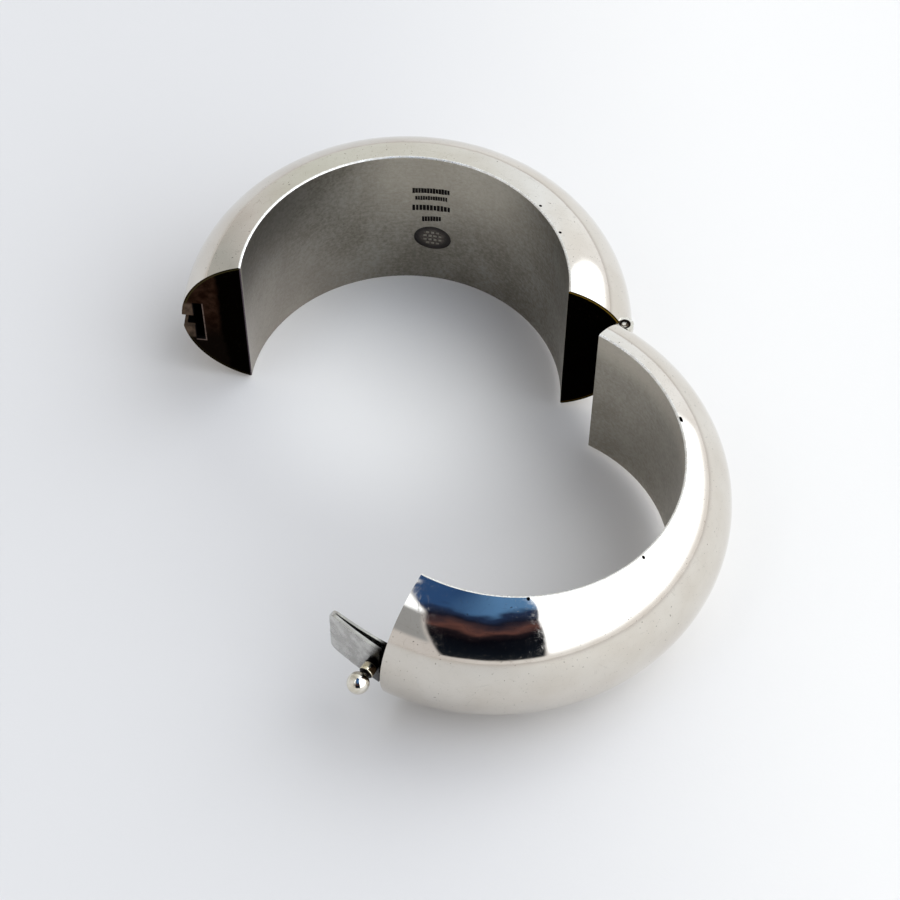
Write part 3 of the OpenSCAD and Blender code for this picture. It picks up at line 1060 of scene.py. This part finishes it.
def ball_silver(name):
    """Bright ball and golden white collar, black in the groove between them and where the neck leaves the
    leaf.
    """
    material, place = new_finish(name, (236, 232, 222), 1.0, 0.12)
    cloud = grain(place, 0.7, 4.0)
    lines = scratches(place, 1.0, 0.025)
    across, _, _ = shut_place(place, True)
    out = across * -1.0
    colour = blended(eased(cloud, 0.35, 0.7), (230, 225, 213), (216, 208, 190))
    collar = eased(out, NECK_END - 0.1, NECK_END + 0.1, 1.0, 0.0)
    colour = blended(collar, colour, (232, 222, 194))
    colour = blended(lines * 0.3, colour, (130, 120, 104))
    groove = within(out, NECK_END - 0.04, NECK_END + BALL_GROOVE + 0.16, 0.04)
    groove = most(groove, eased(out + cloud * 0.3, LEAF_FACE + 0.75, LEAF_FACE + 1.05, 1.0, 0.0))
    colour = blended(groove, colour, (20, 16, 14))
    rough = eased(cloud, 0.3, 0.7, 0.08, 0.16) + groove * 0.4
    return dressed(material, colour, rough, cloud * 1.2 - lines * 1.2, 0.002)


# Camera, as solved from the photograph
LENS = 88.4
SENSOR = 36
CAMERA_AT = (33.80, -266.76, 333.52)
CAMERA_DOWN = math.radians(52.63)
CAMERA_ROLL = math.radians(0.91)
CAMERA_TURN = math.radians(5.34)


def set_camera():
    camera = placed("camera", bpy.data.cameras.new("camera"))
    bpy.context.scene.camera = camera
    camera.data.lens = LENS
    camera.data.sensor_width = SENSOR
    camera.data.clip_start = 0.01
    camera.data.clip_end = 20
    ahead = Vector((0, math.cos(CAMERA_DOWN), -math.sin(CAMERA_DOWN)))
    level = Vector((1, 0, 0))
    upward = level.cross(ahead)
    right = math.cos(CAMERA_ROLL) * level + math.sin(CAMERA_ROLL) * upward
    up = -math.sin(CAMERA_ROLL) * level + math.cos(CAMERA_ROLL) * upward
    turn = Matrix.Rotation(CAMERA_TURN, 3, "Z") @ Matrix((right, up, -ahead)).transposed()
    camera.matrix_world = Matrix.Translation(Vector(CAMERA_AT) * MM) @ turn.to_4x4()


# Colours of the surroundings as they look in the silver, by their bearing clockwise from +Y in degrees
WALLS_BY_BEARING = (
    (90, (220, 212, 202)), (147, (216, 209, 200)), (200, (186, 178, 170)), (240, (196, 190, 182)),
    (290, (178, 174, 166)), (312, (158, 155, 146)), (326, (184, 177, 168)), (340, (190, 188, 175)),
    (358, (205, 202, 192)), (372, (222, 221, 216)), (384, (228, 225, 218)), (402, (226, 220, 212)),
    (450, (220, 212, 202)))
# Dark card behind the camera by its height in degrees, and its blue top at either side
CARD_BY_HEIGHT = (
    (4, (24, 27, 30)), (12, (12, 16, 22)), (26, (7, 7, 12)), (33, (30, 22, 24)), (38, (88, 57, 50)),
    (42, (58, 42, 43)), (47, (20, 22, 34)), (52, (30, 42, 66)))
CARD_BLUE_LEFT = (40, 67, 104)
CARD_BLUE_RIGHT = (82, 120, 158)
WINDOW_WHITE = (255, 254, 250)
WINDOW_STRENGTH = 1.68
# The window's soft edges: bearings of its sides, the first of which leans, and heights of its foot
WINDOW_FROM = (40.0, 44.0)
WINDOW_TO = (150.5, 153.0)
WINDOW_LEAN = 0.33
WINDOW_FOOT = (1.0, 12.0)
# Grey panel and white gap between the card and the walls, and the way that the card faces
PANEL_GREY = (140, 138, 134)
GAP_STRENGTH = 1.2
CARD_FACES = math.radians(195)
# How tall the waves are that the card's bands run in, in degrees
CARD_WAVES = 26.0
# Bearings of the camera's side, from which the matt floor gets this much less light, and its share of
# more light from all round
CAMERA_SIDE = (128.0, 205.0)
CAMERA_SIDE_LESS = 0.7
FLOOR_MORE = 0.08
PLAIN_PAPER = (232, 234, 238)


def ramp(value, stops):
    """Colour that runs through stops of (value, light) in turn."""
    tree = value.tree
    first, last = stops[0][0], stops[-1][0]
    made = tree.nodes.new("ShaderNodeValToRGB")
    elements = made.color_ramp.elements
    while len(elements) < len(stops):
        elements.new(0.5)
    for element, (place, colour) in zip(elements, stops):
        element.position = (place - first) / (last - first)
        element.color = colour
    feed(tree, made.inputs[0], (value - first) * (1 / (last - first)))
    return made.outputs[0]


def window_light():
    """Plain soft studio light all round, by bearing (clockwise from +Y) and height, in degrees: a
    wide white window at +X, pale walls, and a plain dark card with a blue top behind the camera."""
    world = bpy.data.worlds.new("studio")
    bpy.context.scene.world = world
    world.use_nodes = True
    tree = world.node_tree
    way = node(tree, "ShaderNodeTexCoord").outputs["Generated"]
    x, y, z = parts_of(way)
    to_degrees = 180 / math.pi
    around = x.work("ARCTAN2", y) * to_degrees
    turn = around + around.work("LESS_THAN", 0.0) * 360.0
    swept = around + around.work("LESS_THAN", 90.0) * 360.0
    rise = arcsine(z) * to_degrees

    def light(colour, strength=1.0):
        """Light that looks like this colour once the silver has tinted it."""
        return tuple(strength * c / tint for c, tint in zip(linear(*colour), SILVER[:3])) + (1.0,)

    def lit(stops):
        return [(place, light(colour)) for place, colour in stops]

    colour = ramp(swept, lit(WALLS_BY_BEARING))
    window = eased(turn + rise * WINDOW_LEAN, *WINDOW_FROM) * eased(turn, *WINDOW_TO, 1.0, 0.0)
    window = window * eased(rise, *WINDOW_FOOT)
    colour = blended(window, colour, light(WINDOW_WHITE, WINDOW_STRENGTH))
    # The card widens to the left above 48 degrees
    left = most(rise * 0.33 + 193.0, (rise - 48.0) * 1.45 + 209.0)
    right = least(rise * -0.08 + 153.5, (rise - 46.0) * -0.35 + 150.0)
    beside = swept - left
    above_grey = eased(beside, 0.0, 3.0) * eased(beside, 18.0, 24.0, 1.0, 0.0)
    colour = blended(above_grey * eased(rise, 12.0, 18.0), colour, light(PANEL_GREY))
    colour = blended(above_grey * eased(rise, 42.0, 47.0), colour, light(WINDOW_WHITE, GAP_STRENGTH))
    card = eased(beside, -1.0, 1.0, 1.0, 0.0) * eased(swept - right, -1.0, 1.0) * eased(rise, 2.5, 4.5)
    # Its top reaches on past the point overhead
    across = x * math.cos(CARD_FACES) - y * math.sin(CARD_FACES)
    away = -x * math.sin(CARD_FACES) - y * math.cos(CARD_FACES)
    overhead = within(across, -0.24, 0.28, 0.015) * eased(away, 0.22, 0.26, 1.0, 0.0)
    overhead = overhead * eased(rise, 70.0, 74.0)
    card = most(card, overhead)
    blue = blended(eased(swept, 160.0, 212.0), light(CARD_BLUE_RIGHT), light(CARD_BLUE_LEFT))
    wave = grain(way, 4.0, 2.0) * CARD_WAVES - CARD_WAVES / 2
    height = rise + wave * eased(rise, 8.0, 30.0, 0.2, 1.0)
    shade = blended(eased(height, 53.0, 60.0), ramp(height, lit(CARD_BY_HEIGHT)), blue)
    colour = blended(card, colour, shade)
    sky = tree.nodes["Background"]
    tree.links.new(colour, sky.inputs["Color"])
    # The matt floor gets less light from the side that the camera stands on
    ray = node(tree, "ShaderNodeLightPath").outputs
    matt = Formula(tree, ray["Is Diffuse Ray"])
    shaded = within(swept, *CAMERA_SIDE, 22.0) * -CAMERA_SIDE_LESS
    feed(tree, sky.inputs["Strength"], matt * (shaded + FLOOR_MORE) + 1.0)
    # What the camera sees past the floor's edge is plain
    plain = node(tree, "ShaderNodeBackground", Color=linear(*PLAIN_PAPER))
    mix = node(tree, "ShaderNodeMixShader")
    feed(tree, mix.inputs[0], ray["Is Camera Ray"])
    tree.links.new(sky.outputs[0], mix.inputs[1])
    tree.links.new(plain.outputs[0], mix.inputs[2])
    tree.links.new(mix.outputs[0], tree.nodes["World Output"].inputs["Surface"])


FLOOR_REACH = 1500
FLOOR_ROUGH = 0.75


def pale_floor():
    """Wide pale floor with painted light and shade: lighter towards the window and inside the ring, and
    darker far off.
    """
    mesh = bpy.data.meshes.new("floor")
    r = FLOOR_REACH * MM
    mesh.from_pydata([(-r, -r, 0), (r, -r, 0), (r, r, 0), (-r, r, 0)], [], [(0, 1, 2, 3)])
    floor = placed("floor", mesh)
    material, place = new_finish("pale_paper", (232, 233, 236), 0.0, FLOOR_ROUGH)
    x, y, _ = parts_of(place)
    # Painted light: lighter towards the window
    lit = eased(x + y * 0.2, -20.0, 90.0)
    near = blended(lit, (216, 213, 210), (236, 232, 226))
    # Painted light: lighter inside the ring
    painted_ring_light = eased(length_of(x, y - 6.0), 12.0, 44.0, 1.0, 0.0)
    near = blended(painted_ring_light, near, (245, 242, 237))
    # Painted shade: darker far off
    far = eased(length_of(x, y), 180.0, 700.0)
    colour = blended(far, near, (205, 197, 190))
    mesh.materials.append(dressed(material, colour, FLOOR_ROUGH, grain(place, 1.5, 1.0), 0.01))


set_camera()
window_light()
pale_floor()

satin = satin_silver("satin_silver")
# Unpolished metal, coloured black inside the slot, the pits and the hollow
inside = mottled(
    "dark_inside", mean=((24, 20, 18), 0.0, 0.7, 0.1), grains=(1.5, 4.0), under=(8, 6, 6),
    over=(24, 19, 17), spread=(0.35, 0.7), rough=(0.6, 0.85), relief=0.02)
rim = rim_silver("rim_silver")
tongue = clasp_silver("clasp_silver")
ring_tree = half_ring_tree()

polish = polished_silver("polished_silver")
common = {DOME: polish, WALL: satin, RIM: rim, INSIDE: inside,
          KNUCKLE: knuckle_silver("knuckle_silver")}

back_finishes = {**common, PLATE: dark_patina("dark_patina_back", False), STRUCK: inside,
                 FIELD: struck_field("struck_field")}
back = made_by(half_tree("back_half_nodes", 1, ring_tree, back_finishes), "back_half_dressed")
settled(back, False, true_normals(back))

front_finishes = {**common, PLATE: dark_patina("dark_patina_front", True)}
front = made_by(half_tree("front_half_nodes", -1, ring_tree, front_finishes), "front_half_dressed")
front = united(front, inner_strip(tongue))
settled(front, True, true_normals(front))

leaf = united(sprung_leaf(tongue), turned_ball(ball_silver("ball_silver")))
settled(leaf, True)

pin = frame["nodes"]["hinge_pin"]
pin.data.materials.clear()
# Drawn wire with dark stains
wire = mottled(
    "drawn_wire", mean=((214, 208, 196), 1.0, 0.5), grains=(1.6, 3.0), under=(226, 220, 208),
    over=(92, 80, 68), spread=(0.42, 0.58), rough=(0.42, 0.62), relief=0.01)
pin.data.materials.append(wire)

for piece, body, cad_node, slot in (
        (back, "back", "back_half", "polished_silver"),
        (front, "front", "front_half", "polished_silver"),
        (leaf, "leaf", "push_leaf", "clasp_silver")):
    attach(piece, body)
    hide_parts(cad_node)

bpy.context.scene.view_settings.view_transform = "Standard"
